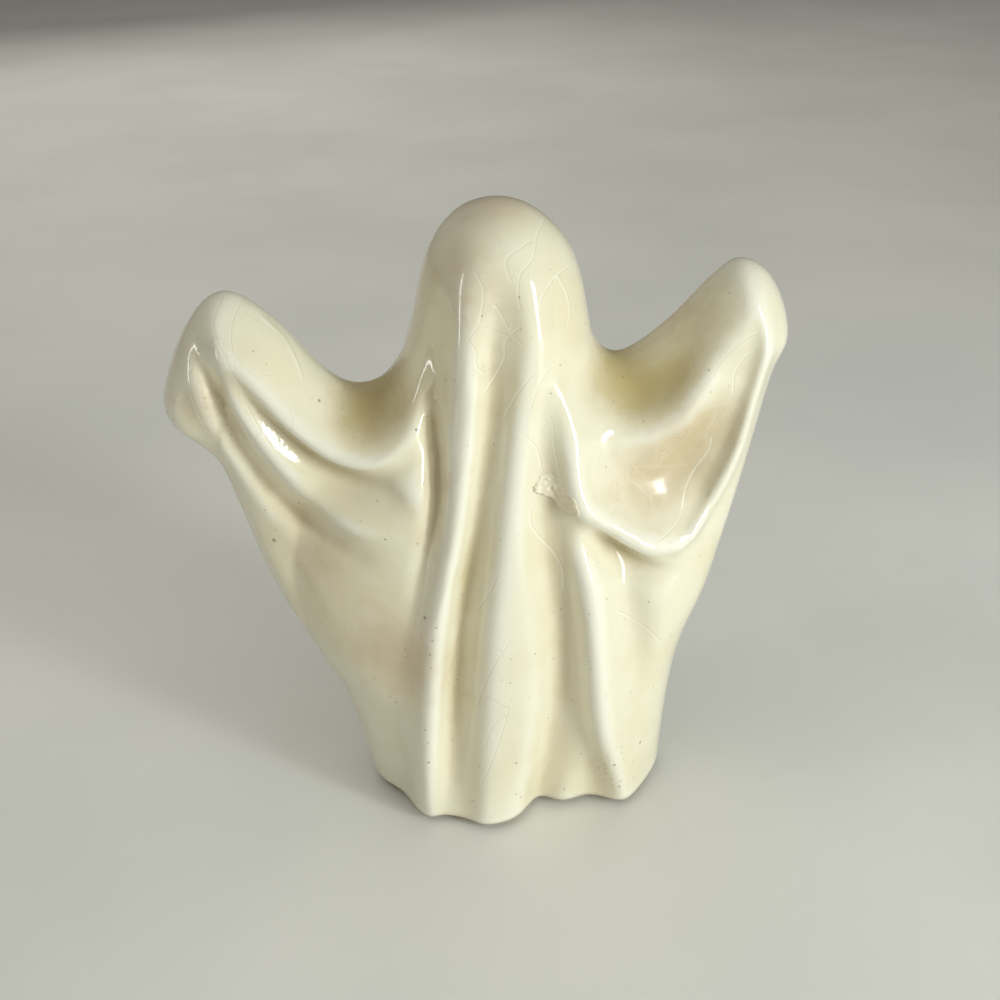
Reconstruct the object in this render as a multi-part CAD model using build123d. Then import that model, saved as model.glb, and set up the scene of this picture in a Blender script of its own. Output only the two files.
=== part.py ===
from build123d import *
import os
from dataclasses import dataclass
from math import cos, exp, hypot, pi, radians, sin, sqrt

# Ceramic ghost figure: a standing form under a draped sheet, with both arms raised. It is
# cast as a front and a back half in a two-piece mould, luted along the mould seam, left
# hollow and open at the foot, and coated with a glossy ivory glaze.
# Millimetres. +Z is up, the figure faces -Y, and the origin lies on the table under the
# middle of the figure. Left and right are as the viewer sees them.

# Overall sizes
FIGURE_HEIGHT = 110.0  # table to crown, glaze included
AXIS_X = 4.8  # upright axis of head and robe, right of the middle of the arm span
SHOULDER_HEIGHT = 75.0  # where the axes of the two sleeves leave the robe's axis
SEAM_Y = -0.8  # plane of the mould seam, where the two halves meet, just before the middle

# Clay and glaze
WALL = 3.6  # clay wall of the cast halves
GLAZE = 0.45  # glaze coat
GLAZE_STOP = 0.8  # the glaze is wiped off this far above the table
FOLD_ROOM = 4.6  # clay left under the deepest fold of an arm, beyond its wall
ARM_CORE_CLEAR = 9.0  # solid clay between the end of an arm's hollow and the cuff

# Bare clay scar on the chest, where the glaze is broken away
SCAR_X = 13.4
SCAR_HEIGHT = 65.0
SCAR_WIDTH = 7.6
SCAR_TALL = 6.6
SCAR_PROUD = 0.9  # how far the lump stands out of the glaze
SCAR_ROOT = 4.0  # how far its sides reach in below the glaze before the clay trims them
SCAR_CLEAR = 8.0  # how far the hole's cutter reaches out of the glaze

# Points around each cross-section
FRONT_POINTS = 36
BACK_POINTS = 16
SLEEVE_POINTS = 15  # along each face of a sleeve section
SCAR_POINTS = 14

# Heights of the robe's cross-sections, and turns of the dome's above the brow, in degrees
ROBE_HEIGHTS = [5.0, 11.0, 18.0, 26.0, 34.0, 42.0, 50.0, 58.0, 66.0, 73.0, 80.0, 87.0]
DOME_TURNS = [0.0, 24.0, 43.0, 59.0, 72.0, 82.0]


@dataclass
class Level:
    height: float
    shift: float  # middle of the section, right of the upright axis
    half_width: float
    front: float  # depth from the middle plane to the front
    back: float  # depth from the middle plane to the back


@dataclass
class Cut:
    reach: float  # along the sleeve, from the robe's axis
    top: float  # top edge, down from the sleeve's axis
    hem: float  # lower edge, down from the sleeve's axis
    roll: float  # half thickness of the arm at the top
    edge: float  # half thickness of the drape at its lower edge


@dataclass
class Sleeve:
    side: int  # -1 left, +1 right
    tilt: float  # degrees that the arm rises above level
    tip_reach: float
    tip_drop: float  # tip of the cuff, down from the sleeve's axis
    cuts: list


@dataclass
class Fold:
    width: float
    path: list  # points (x, height, rise), with the rise above the plain form


# Plain form of robe and head, from the foot to the brow. A dome closes it at the crown.
ROBE = [
    Level(0.0, 0.9, 26.4, 18.2, 17.8),
    Level(11.0, 0.0, 28.1, 17.8, 17.8),
    Level(23.0, -0.2, 30.0, 17.4, 17.6),
    Level(36.0, 0.0, 31.0, 16.7, 17.0),
    Level(50.0, 0.0, 29.0, 16.0, 16.2),
    Level(64.0, 0.0, 25.0, 15.2, 15.4),
    Level(74.0, 0.0, 21.2, 14.7, 14.8),
    Level(82.0, 0.0, 17.2, 14.2, 14.3),
    Level(88.5, 0.0, 14.9, 13.9, 13.9),
    Level(95.0, 0.0, 13.5, 13.6, 13.7),
]

LEFT_SLEEVE = Sleeve(-1, 15.0, 55.6, 9.5, [
    Cut(3.0, 0.0, 57.0, 13.4, 13.0),
    Cut(10.0, -1.5, 58.4, 15.2, 14.0),
    Cut(17.0, -1.0, 57.4, 14.6, 11.8),
    Cut(24.0, 1.8, 51.8, 12.4, 8.2),
    Cut(31.0, 0.2, 42.6, 11.2, 4.6),
    Cut(38.0, -4.8, 31.0, 11.2, 4.8),
    Cut(44.0, -8.0, 21.2, 10.8, 5.4),
    Cut(49.0, -7.9, 17.9, 9.4, 5.8),
    Cut(52.5, -3.4, 16.2, 6.8, 5.0),
    Cut(54.7, 4.5, 14.2, 3.4, 2.8),
])

RIGHT_SLEEVE = Sleeve(1, 22.0, 48.8, 0.8, [
    Cut(3.0, 0.0, 60.0, 13.4, 12.6),
    Cut(9.0, -2.0, 56.4, 15.0, 12.8),
    Cut(15.0, -2.6, 49.8, 14.4, 11.4),
    Cut(21.0, -1.0, 43.4, 12.8, 8.6),
    Cut(27.0, -1.3, 35.2, 12.2, 5.8),
    Cut(33.0, -3.5, 26.4, 11.6, 5.6),
    Cut(38.5, -6.4, 18.5, 10.8, 5.6),
    Cut(43.0, -8.5, 12.0, 9.6, 5.6),
    Cut(46.0, -7.6, 9.2, 7.0, 5.0),
    Cut(48.0, -4.0, 5.4, 3.6, 3.0),
])

# Folds of the front, ridges with a positive rise and valleys with a negative one
FRONT_FOLDS = [
    # robe, from left to right
    Fold(4.0, [(-19.0, 26, -0.2), (-16.6, 14, -1.4), (-15.4, 0, -2.4)]),
    Fold(2.4, [(-5.6, 86, -0.6), (-6.4, 78, -1.6), (-5.8, 70, -2.0), (-6.4, 61, -1.6),
               (-8.4, 52, -0.8), (-11.0, 42, -0.2)]),
    Fold(3.2, [(-0.4, 101, 0.3), (-0.8, 96, 0.8), (-1.0, 88, 1.4), (-1.6, 72, 1.7),
               (-3.0, 61, 2.0), (-6.0, 48, 2.4), (-8.0, 37, 2.6), (-9.4, 24, 2.6),
               (-10.4, 10, 2.2), (-10.8, 0, 1.6)]),
    Fold(2.6, [(4.6, 101, -0.4), (4.4, 95, -1.0), (3.8, 89, -1.3), (3.0, 82, -1.6),
               (1.6, 72, -2.0), (-0.4, 62, -2.4), (-2.6, 48, -2.8), (-4.2, 36, -2.9),
               (-5.2, 24, -2.5), (-5.8, 12, -1.5), (-6.0, 0, -0.5)]),
    Fold(3.8, [(9.6, 103, 0.2), (9.8, 97, 0.8), (9.6, 90, 1.2), (7.6, 78, 1.5), (5.4, 62, 1.6),
               (3.4, 46, 1.6), (2.0, 30, 1.5), (0.6, 14, 1.4), (-0.6, 0, 1.2)]),
    Fold(3.4, [(12.6, 86, -0.8), (11.0, 76, -1.8), (11.0, 60, -2.4), (12.6, 45, -2.9),
               (13.0, 30, -3.5), (11.4, 14, -4.6), (9.2, 0, -6.2)]),
    Fold(4.8, [(15.0, 40, -0.4), (16.6, 20, -1.8), (17.6, 6, -4.2), (17.6, 0, -5.0)]),
    Fold(3.4, [(15.0, 92, 0.5), (15.6, 78, 1.4), (16.3, 63, 2.2), (18.6, 46, 2.4),
               (19.4, 32, 2.3), (21.0, 18, 2.4), (25.6, 0, 1.9)]),
    Fold(3.6, [(21.0, 57, -1.2), (25.2, 41, -2.4), (26.9, 22, -1.2), (27.6, 10, 0.0)]),
    # left sleeve: rim of the arm, then the swags below it
    Fold(4.0, [(-40.0, 92, 0.2), (-34.8, 85.2, 1.4), (-30.8, 79.6, 1.8), (-26.5, 74.9, 2.2),
               (-22.1, 71.9, 2.4), (-16.9, 71.6, 2.2), (-12.4, 74.2, 1.6), (-8.6, 80, 0.6)]),
    Fold(2.6, [(-38.1, 85.6, -0.8), (-34.8, 80.4, -1.9), (-30.6, 75, -2.2), (-25.8, 70.6, -2.0),
               (-21.0, 68, -1.4), (-15.0, 66.4, -0.6)]),
    Fold(2.8, [(-39.6, 87.7, 0.8), (-34.8, 75.2, 1.8), (-31.3, 68.4, 1.9), (-27.7, 63.6, 1.9),
               (-21.7, 59.2, 1.6), (-15.0, 57, 0.6)]),
    Fold(2.4, [(-43.4, 88.6, -0.8), (-41.9, 83.7, -1.8), (-40.4, 77.7, -2.0), (-38.4, 71.1, -2.0),
               (-35.2, 64.3, -1.8), (-32.0, 59.9, -1.6), (-26.4, 55.6, -1.2), (-20.0, 53, -0.6)]),
    Fold(2.6, [(-40.8, 74, 1.0), (-39.3, 69, 1.2), (-36.4, 63, 1.2), (-33.4, 57, 1.1),
               (-30.0, 50, 0.8), (-26.0, 42, 0.3)]),
    # right sleeve: scoop, the fold across it, the bowl, its rim, the outer edge, the shadow
    Fold(5.0, [(20.4, 81, -1.2), (27.0, 79.6, -3.0), (33.0, 83.4, -3.0), (38.5, 90, -1.4)]),
    Fold(2.8, [(19.0, 75.6, 0.2), (24.3, 73.8, 0.9), (30.0, 74.4, 1.4), (33.7, 76.2, 1.6),
               (36.5, 80.8, 1.6), (38.8, 86, 1.2), (42.4, 92.4, 0.5)]),
    Fold(5.6, [(21.6, 67, -1.8), (26.0, 65.4, -3.6), (31.0, 64.6, -4.4), (36.4, 68.8, -4.4),
               (39.8, 74, -3.6), (41.6, 81, -1.8)]),
    Fold(3.0, [(13.0, 90, 0.3), (14.4, 80.2, 1.0), (15.4, 71.4, 1.8), (17.3, 64.6, 2.7),
               (22.2, 58.9, 3.4), (26.8, 55.8, 3.4), (31.5, 54.4, 2.6), (35.0, 55, 1.2)]),
    Fold(2.4, [(34.0, 53.6, 1.0), (36.8, 56, 2.2), (39.8, 60.6, 2.6), (43.4, 68.6, 2.6),
               (45.0, 76, 2.5), (46.2, 83, 2.2), (46.6, 88.6, 1.6), (45.2, 95, 0.5)]),
    Fold(3.0, [(17.8, 60, -1.2), (20.4, 56.4, -2.6), (23.4, 53.2, -3.5), (27.0, 50.4, -3.3),
               (31.0, 48.4, -2.4), (36.0, 46, -0.8)]),
]

# Broader, softer folds of the back
BACK_FOLDS = [
    Fold(4.4, [(5.0, 84, 0.4), (4.2, 60, 1.4), (3.0, 30, 1.6), (2.0, 0, 1.8)]),
    Fold(4.0, [(-2.4, 72, -0.6), (-5.0, 45, -1.6), (-6.4, 0, -2.2)]),
    Fold(4.0, [(-9.0, 66, 0.8), (-12.6, 40, 1.6), (-14.6, 0, 1.8)]),
    Fold(4.2, [(11.0, 72, -0.6), (12.4, 45, -1.8), (11.4, 0, -2.4)]),
    Fold(4.2, [(16.6, 66, 0.8), (19.6, 40, 1.6), (21.4, 0, 1.8)]),
    Fold(6.0, [(30.0, 78, -1.6), (27.0, 66, -1.4)]),
    Fold(6.0, [(-30.0, 76, -1.2), (-24.0, 66, -1.4)]),
]


def fold_rise(fold, x, height):
    """Rise of one fold: a bell across the nearest point of its path."""
    nearest, rise = None, 0.0
    for (x0, h0, r0), (x1, h1, r1) in zip(fold.path, fold.path[1:]):
        run, climb = x1 - x0, h1 - h0
        along = ((x - x0) * run + (height - h0) * climb) / (run * run + climb * climb)
        along = min(1.0, max(0.0, along))
        distance = hypot(x - x0 - along * run, height - h0 - along * climb)
        if nearest is None or distance < nearest:
            nearest, rise = distance, r0 + along * (r1 - r0)
    return rise * exp(-((nearest / fold.width) ** 2))


def relief(folds, x, height):
    """Rise of all folds together above the plain form."""
    return sum(fold_rise(fold, x, height) for fold in folds)


def valleys(folds, x, height):
    """Relief without its ridges, and with each valley widened by the wall, for the hollow."""
    return min(0.0, *(relief(folds, x + shift, height) for shift in (-WALL / 2, 0.0, WALL / 2)))


def robe_sizes(height):
    """Shift, half width and depths of the plain form at a height, smooth through its levels."""
    last = len(ROBE) - 2
    index = next(i for i in range(last + 1) if height <= ROBE[i + 1].height or i == last)
    before, start = ROBE[max(0, index - 1)], ROBE[index]
    end, after = ROBE[index + 1], ROBE[min(last + 1, index + 2)]
    span = end.height - start.height
    step = (height - start.height) / span
    sizes = []
    for name in ("shift", "half_width", "front", "back"):
        v0, v1, v2, v3 = (getattr(level, name) for level in (before, start, end, after))
        slope_in = (v2 - v0) / (end.height - before.height) * span
        slope_out = (v3 - v1) / (after.height - start.height) * span
        bend = step * step * (3 - 2 * step)
        sizes.append(v1 + (v2 - v1) * bend + slope_in * step * (1 - step) ** 2
                     - slope_out * step * step * (1 - step))
    return sizes


def inset_ring(points, inset):
    """Closed ring of plane points moved inwards, square to the ring."""
    moved = []
    for before, point, after in zip(points[-1:] + points[:-1], points, points[1:] + points[:1]):
        run, climb = after[0] - before[0], after[1] - before[1]
        length = hypot(run, climb)
        moved.append((point[0] - inset * climb / length, point[1] + inset * run / length))
    return moved


def robe_ring(height, shift, half_width, front, back, inset, rise):
    """Cross-section of robe or head, anticlockwise from the middle of its back."""
    quarter = BACK_POINTS // 2
    turns = [pi / 2 + pi / 2 * step / quarter for step in range(quarter)]
    turns += [pi + pi * step / FRONT_POINTS for step in range(FRONT_POINTS)]
    turns += [pi / 2 * step / quarter for step in range(quarter)]
    ring = []
    for turn in turns:
        folds, depth = (FRONT_FOLDS, front) if turn > pi else (BACK_FOLDS, back)
        x = AXIS_X + shift + half_width * cos(turn)
        ring.append((x, (depth + rise(folds, x, height)) * sin(turn)))
    points = [Vector(x, y, height) for x, y in inset_ring(ring, inset)]
    return Wire([Edge.make_spline(points, periodic=True)])


def robe_form(inset, rise=relief, foot=0.0):
    """Robe and head as one closed solid, inset all over except at the foot."""
    rings = []
    for height in [foot] + ROBE_HEIGHTS:
        rings.append(robe_ring(height, *robe_sizes(max(0.0, height)), inset, rise))
    brow = ROBE[-1]
    dome = FIGURE_HEIGHT - inset - brow.height
    for turn in DOME_TURNS:
        narrow = cos(radians(turn))
        sizes = [(size - inset) * narrow for size in (brow.half_width, brow.front, brow.back)]
        rings.append(robe_ring(brow.height + dome * sin(radians(turn)), brow.shift, *sizes, 0.0, rise))
    crown = Vertex(AXIS_X + brow.shift, 0, brow.height + dome)
    return Solid.make_loft(rings + [crown])


def sleeve_point(sleeve, reach, drop):
    """Point of a sleeve's middle plane from its reach along the arm and its drop below it."""
    tilt = radians(sleeve.tilt)
    x = AXIS_X + sleeve.side * (reach * cos(tilt) + drop * sin(tilt))
    return Vector(x, 0, SHOULDER_HEIGHT + reach * sin(tilt) - drop * cos(tilt))


def sleeve_ring(sleeve, cut, inset):
    """Teardrop section of a sleeve: a round arm at the top and a thin drape below it."""
    top, hem = cut.top + inset, cut.hem - inset
    roll, edge = cut.roll - inset, cut.edge - inset
    length = hem - top
    points = []
    for step in range(2 * SLEEVE_POINTS):
        turn = 2 * pi * step / (2 * SLEEVE_POINTS) - pi / 2  # from the middle of the back, over the top
        down = length * (1 - cos(turn)) / 2
        taper = roll + (edge - roll) * down / length
        rounding = (1 - exp(-2 * down / roll)) * (1 - exp(-2 * (length - down) / edge))
        thick = taper * sqrt(max(0.0, rounding))
        folds, facing = (FRONT_FOLDS, -1) if sin(turn) > 0 else (BACK_FOLDS, 1)
        spot = sleeve_point(sleeve, cut.reach, top + down)
        rise = relief(folds, spot.X, spot.Z) * min(1.0, thick / roll)
        points.append(spot + Vector(0, facing * (thick + rise), 0))
    return Wire([Edge.make_spline(points, periodic=True)])


def sleeve_form(sleeve, inset):
    """Sleeve as one closed solid, from the robe's axis to the rounded cuff."""
    rings = [sleeve_ring(sleeve, cut, inset) for cut in sleeve.cuts]
    tip = sleeve_point(sleeve, sleeve.tip_reach - inset, sleeve.tip_drop)
    return Solid.make_loft(rings + [Vertex(tip)])


def arm_hollow(sleeve):
    """Round hollow of an arm, from inside the robe to the solid clay behind the cuff."""
    tilt = radians(sleeve.tilt)
    along = Vector(sleeve.side * cos(tilt), 0, sin(tilt))
    rings = []
    for cut in sleeve.cuts:
        if cut.reach < sleeve.tip_reach - ARM_CORE_CLEAR:
            centre = sleeve_point(sleeve, cut.reach, cut.top + cut.roll)
            radius = cut.roll - GLAZE - WALL - FOLD_ROOM
            rings.append(Wire.make_circle(radius, Plane(centre, z_dir=along)))
    return Solid.make_loft(rings)


def figure_form(inset):
    """Whole outer form above the line where the glaze stops, inset all over but at the foot."""
    robe = robe_form(inset, foot=GLAZE_STOP)
    return robe.fuse(sleeve_form(LEFT_SLEEVE, inset), sleeve_form(RIGHT_SLEEVE, inset))


def floor_of(form):
    """Level face that a form stands on."""
    return form.faces().sort_by(Axis.Z)[0]


def hollow_form():
    """Hollow of the casting: the inside of the robe, open at the foot, with both arms."""
    inside = robe_form(GLAZE + WALL, rise=valleys)
    return inside.fuse(arm_hollow(LEFT_SLEEVE), arm_hollow(RIGHT_SLEEVE))


def scar_plane(form):
    """Depth of the form's front at the middle of the scar, and its slope across the scar."""
    sides = []
    for x in (SCAR_X - SCAR_WIDTH / 2, SCAR_X + SCAR_WIDTH / 2):
        sight = Axis((x, -FIGURE_HEIGHT, SCAR_HEIGHT), (0, 1, 0))
        sides.append(form.find_intersection_points(sight)[0][0].Y)
    return sum(sides) / 2, (sides[1] - sides[0]) / SCAR_WIDTH


def scar_form(front, slope, out):
    """Ragged plug on the chest, sloped as the form is there, from below the clay outwards."""
    points = []
    for step in range(SCAR_POINTS):
        turn = 2 * pi * step / SCAR_POINTS
        ragged = 1 + 0.14 * cos(3 * turn + 0.6) + 0.10 * cos(5 * turn)
        across = ragged * SCAR_WIDTH / 2 * cos(turn)
        points.append(Vector(SCAR_X + across, front + slope * across + SCAR_ROOT,
                             SCAR_HEIGHT + ragged * SCAR_TALL / 2 * sin(turn)))
    base = Face(Wire([Edge.make_spline(points, periodic=True)]))
    return Solid.extrude(base, Vector(0, -SCAR_ROOT - out, 0))


def coat(outer, inner):
    """Skin between two closed forms that stand on one plane, open at that plane."""
    outer_floor, inner_floor = floor_of(outer), floor_of(inner)
    walls = [face for face in outer.faces() if not face.is_same(outer_floor)]
    walls += [face for face in inner.faces() if not face.is_same(inner_floor)]
    rim = Face(outer_floor.outer_wire(), [inner_floor.outer_wire()])
    return Solid(Shell(walls + [rim]))


def build():
    """Every piece of the figure by its node name."""
    outside, under_glaze = figure_form(0.0), figure_form(GLAZE)
    bare_foot = Solid.extrude(floor_of(under_glaze), Vector(0, 0, -GLAZE_STOP))
    clay = under_glaze.fuse(bare_foot)
    glaze = coat(outside, under_glaze)
    scar_place = scar_plane(outside)
    hole = scar_form(*scar_place, SCAR_CLEAR)
    scar = scar_form(*scar_place, SCAR_PROUD)
    halves = clay.cut(hollow_form()).split(Plane.XZ.offset(-SEAM_Y), keep=Keep.BOTH)
    front, back = sorted(halves, key=lambda half: half.center().Y)
    return {
        "front_shell": front,
        "back_shell": back,
        "glaze_coat": glaze.cut(hole),
        "clay_scar": scar.cut(clay),
    }


def main():
    os.makedirs("parts", exist_ok=True)
    for name, piece in build().items():
        export_step(piece, f"parts/{name}.step")
        print(f"{name}: {len(piece.solids())} solid, {piece.volume / 1000:.1f} cm3")


if __name__ == "__main__":
    main()
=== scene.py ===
import math
import bpy
import numpy as np
from mathutils import Matrix, Vector


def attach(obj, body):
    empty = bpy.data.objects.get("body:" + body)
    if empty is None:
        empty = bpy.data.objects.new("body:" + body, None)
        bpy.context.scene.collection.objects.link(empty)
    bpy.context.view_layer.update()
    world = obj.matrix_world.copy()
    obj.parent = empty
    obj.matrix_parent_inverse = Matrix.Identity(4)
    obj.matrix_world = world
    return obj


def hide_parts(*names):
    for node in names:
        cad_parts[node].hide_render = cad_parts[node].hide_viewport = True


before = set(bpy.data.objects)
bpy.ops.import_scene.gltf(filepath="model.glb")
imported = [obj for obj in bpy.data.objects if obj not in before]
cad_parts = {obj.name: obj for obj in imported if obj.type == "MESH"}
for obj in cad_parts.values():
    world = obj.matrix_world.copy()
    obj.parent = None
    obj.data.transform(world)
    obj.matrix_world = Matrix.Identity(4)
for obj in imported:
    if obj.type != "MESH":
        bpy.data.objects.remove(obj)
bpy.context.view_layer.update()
mm = 0.001
print("frame loaded:", sorted(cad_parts))

# the cast figure, all sizes in millimetres, seen from the front: x to the right, z up
figure = dict(
    axisX=4.8,             # middle of the head and the robe
    glazeStop=0.8,         # height at which the glaze was wiped off
    hemRoll=1.7,           # rounding of the hem where it stands
    drape=5.2,             # half thickness of the hanging sleeve cloth
    blend=3.2,             # softness where sleeve and robe meet
    edgeBlend=1.5,         # the same for their rounded edges
    robeEdge=13.0,         # rounding of the robe's and the head's sides
    sleeveEdge=0.92,       # rounding of a sleeve's edge, as a share of its half thickness
    robeLeast=0.02,        # square of the share of the robe's half depth that is left at its sides
    leastHalf=0.3,         # half thickness that is left at the rim
    plump=6.5,             # depth of the rim over which the sheet swells to its full thickness
    foldFade=4.0,          # half thickness under which folds die out
    foldReach=2.8,         # widths of a fold after which it is left out
    outlineSteps=6,        # points on each span of the outline
    pathSteps=5,           # points on each span of a fold, an arm or a crazing line
)

# outline from the left foot over the head to the right foot
outline = [
    (-20.4, -7), (-21.2, -1), (-22.6, 6), (-24.8, 16.5), (-26.6, 22.4), (-29.4, 27.2), (-34.2, 37.2),
    (-38, 47.3), (-40.8, 57.8), (-43.4, 66.4), (-46.6, 70.2), (-49.8, 73), (-51.4, 78), (-48.6, 86.4),
    (-44.6, 93), (-41, 95.8), (-37, 95.2), (-31.2, 90.4), (-25.6, 83.2), (-20.6, 79.4),
    (-15.6, 80.2), (-12, 84.4), (-10.2, 89.2), (-8.9, 94), (-7.8, 98.6), (-6.4, 102.6), (-4, 106.2),
    (-0.6, 108.9), (4.2, 110), (9, 109), (13.2, 106), (16.2, 102), (17.9, 97), (18.8, 92),
    (19.8, 87), (22.4, 83.8), (26, 84.4), (32, 89), (38.2, 95.6), (42.8, 99), (47.2, 97.4), (50.2, 92.4),
    (51.4, 86), (49.2, 79.8), (46.5, 67.1), (43.5, 53.7), (40.2, 41), (36.4, 31), (34.4, 22.5),
    (33, 10), (32.4, 1), (32, -7), (6, -12),
]

# robe and head: height, half width over which the thickness runs out, half depth
robeLevels = [
    (-12, 28.4, 18.0), (0, 29.0, 18.0), (11, 31.0, 17.8), (23, 33.6, 17.4), (36, 36.4, 16.8),
    (50, 37.0, 16.0), (64, 32.0, 15.1), (74, 25.5, 14.6), (82, 20.8, 14.2), (88.5, 18.2, 13.9),
    (95, 17.2, 13.7), (103, 16.4, 13.0), (114, 14.0, 11.0),
]

# arms under the cloth: width of the roll, then x, z and swelling along the arm
arms = [
    (11.0, [(-2, 66, 5), (-14, 69, 5), (-22, 72, 5), (-30, 79, 4.8), (-38, 86.5, 4.2), (-45, 85, 3.2)]),
    (13.0, [(12, 66, 5), (22, 68, 5.4), (30, 73, 5), (38, 83, 4.6), (45, 91, 3.6)]),
]

# folds: width on the left of the path or below it, width on its right or above it,
# then x, z and rise along the path, which runs downwards or to the right
frontFolds = [
    # robe, from left to right
    (4.0, 4.0, [(-19, 26, -.2), (-16.6, 14, -1.4), (-15.4, 2, -2.4), (-15.4, -6, -2.4)]),
    (2.0, 1.9, [(-4.8, 96, -.4), (-5.6, 86, -1.2), (-6.4, 78, -2.5), (-6, 70, -3), (-6.6, 61, -2.7),
                (-8.6, 52, -1.6), (-11, 42, -.3)]),
    (0.9, 0.9, [(-4.2, 77, .2), (-4.4, 70, .7), (-5, 63, .7), (-6.8, 56, .5), (-9.2, 49, .1)]),
    (3.2, 2.4, [(-0.4, 103, .2), (-0.8, 96, .9), (-1, 88, 1.5), (-0.8, 80, 1.6), (-1.6, 72, 1.8),
                (-3, 61, 2.1), (-6, 48, 2.5), (-8, 37, 2.7), (-9.4, 24, 2.7), (-10.4, 10, 2.2),
                (-10.8, 0, 1.6), (-10.8, -6, 1.6)]),
    (2.6, 3.4, [(-11.6, 22, .2), (-12.6, 12, 1), (-13, 2, 1.5), (-13, -6, 1.5)]),
    (2.0, 3.2, [(4.6, 101, -.4), (4.4, 95, -1.1), (3.8, 89, -1.4), (3, 82, -1.7), (1.6, 72, -2.1),
                (-.4, 62, -2.5), (-2.6, 48, -2.9), (-4.2, 36, -3), (-5.2, 24, -2.6), (-5.8, 12, -1.3),
                (-6, 0, .5), (-6, -6, .6)]),
    (3.0, 4.6, [(9.6, 103, .2), (9.8, 97, .9), (9.6, 90, 1.3), (7.6, 78, 1.5), (5.4, 62, 1.6),
                (3.4, 46, 1.6), (2, 30, 1.5), (.6, 14, 1.6), (-.6, 0, 2.1), (-.6, -6, 2.2)]),
    (3.0, 4.0, [(12.6, 86, -.4), (11, 76, -1.1), (11, 60, -2.1), (12.6, 45, -2.7), (13, 30, -3.3),
                (11.4, 14, -4.4), (9.4, 2, -5.4), (9.2, -6, -5.6)]),
    (5.0, 4.6, [(15, 40, -.4), (16.6, 20, -1.6), (17.6, 6, -3.6), (17.6, -6, -4.2)]),
    (2.8, 3.8, [(15, 92, .2), (15.6, 78, .5), (16.3, 63, 1.6), (18.6, 46, 2.3), (19.4, 32, 2.3),
                (21, 18, 2.4), (25.2, 3, 2), (26, -6, 1.6)]),
    (3.6, 3.6, [(21, 57, -1.2), (25.2, 41, -2.4), (26.9, 22, -1.2), (27.6, 10, 0)]),
    # left sleeve: rim of the arm, then swags below it, then the face of the cuff
    (2.2, 6.0, [(-40, 92, .2), (-37.6, 88.6, 1), (-34.8, 85.2, 1.8), (-30.8, 79.6, 2.4),
                (-26.5, 74.9, 2.8), (-22.1, 71.9, 3), (-16.9, 71.6, 2.8), (-12.4, 74.2, 2.2),
                (-8.6, 80, .8)]),
    (2.4, 1.6, [(-38.1, 85.6, -1), (-34.8, 80.4, -2.4), (-30.6, 75, -2.8), (-25.8, 70.6, -2.6),
                (-21, 68, -1.8), (-15, 66.4, -.8)]),
    (2.3, 3.0, [(-39.6, 87.7, .8), (-37.6, 81.5, 1.6), (-34.8, 75.2, 2), (-31.3, 68.4, 2.2),
                (-27.7, 63.6, 2.2), (-21.7, 59.6, 1.9), (-15, 58, .7)]),
    (1.6, 2.2, [(-43.4, 88.6, -1.2), (-41.9, 83.7, -2.6), (-40.4, 77.7, -2.8), (-38.4, 71.1, -2.4),
                (-35.2, 64.3, -2), (-32, 59.9, -1.8), (-26.4, 55.6, -1.4), (-20, 53, -.6)]),
    (2.4, 2.4, [(-42.6, 82, .4), (-40.8, 74, .8), (-39.3, 69, .9), (-36.4, 63, .8), (-33.4, 57, .7),
                (-30, 50, .5), (-26, 42, .2)]),
    (2.4, 2.4, [(-46, 85, -.4), (-46.6, 79, -1), (-44.6, 73, -.6)]),
    (3.0, 3.0, [(-11.4, 68, .9), (-10, 66, .9)]),
    # right sleeve: scoop, the fold across it, bowl, its rim, the outer edge, shadow under the rim
    (5.0, 4.4, [(20.4, 81, -1.2), (27, 79.6, -3), (33, 83.4, -3), (38.5, 90, -1.4)]),
    (2.4, 2.4, [(19, 75.6, .2), (24.3, 73.8, .9), (30, 74.4, 1.4), (33.7, 76.2, 1.7), (36.5, 80.8, 1.7),
                (38.8, 86, 1.3), (42.4, 92.4, .6)]),
    (5.6, 5.6, [(21.6, 67, -1.8), (26, 65.4, -3.6), (31, 64.6, -4.4), (36.4, 68.8, -4.4),
                (39.8, 74, -3.6), (41.6, 81, -1.8)]),
    (2.6, 3.2, [(13, 90, .3), (14.4, 80.2, 1), (15.4, 71.4, 1.8), (17.3, 64.6, 2.7), (22.2, 58.9, 3.4),
                (26.8, 55.8, 3.4), (31.5, 54.4, 2.6), (35, 55, 1.2)]),
    (1.7, 1.5, [(34, 53.6, 1), (36.8, 56, 2.2), (39.8, 60.6, 2.5), (43.4, 68.6, 2.6), (45, 76, 2.5),
                (46.2, 83, 2.4), (46.6, 88.6, 1.7), (45.2, 95, .5)]),
    (3.2, 1.8, [(17.8, 60, -1.2), (20.4, 56.4, -2.6), (23.4, 53.2, -3.4), (27, 50.4, -2.5),
                (31, 48.4, -1), (35, 46.4, -.1)]),
]

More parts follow.
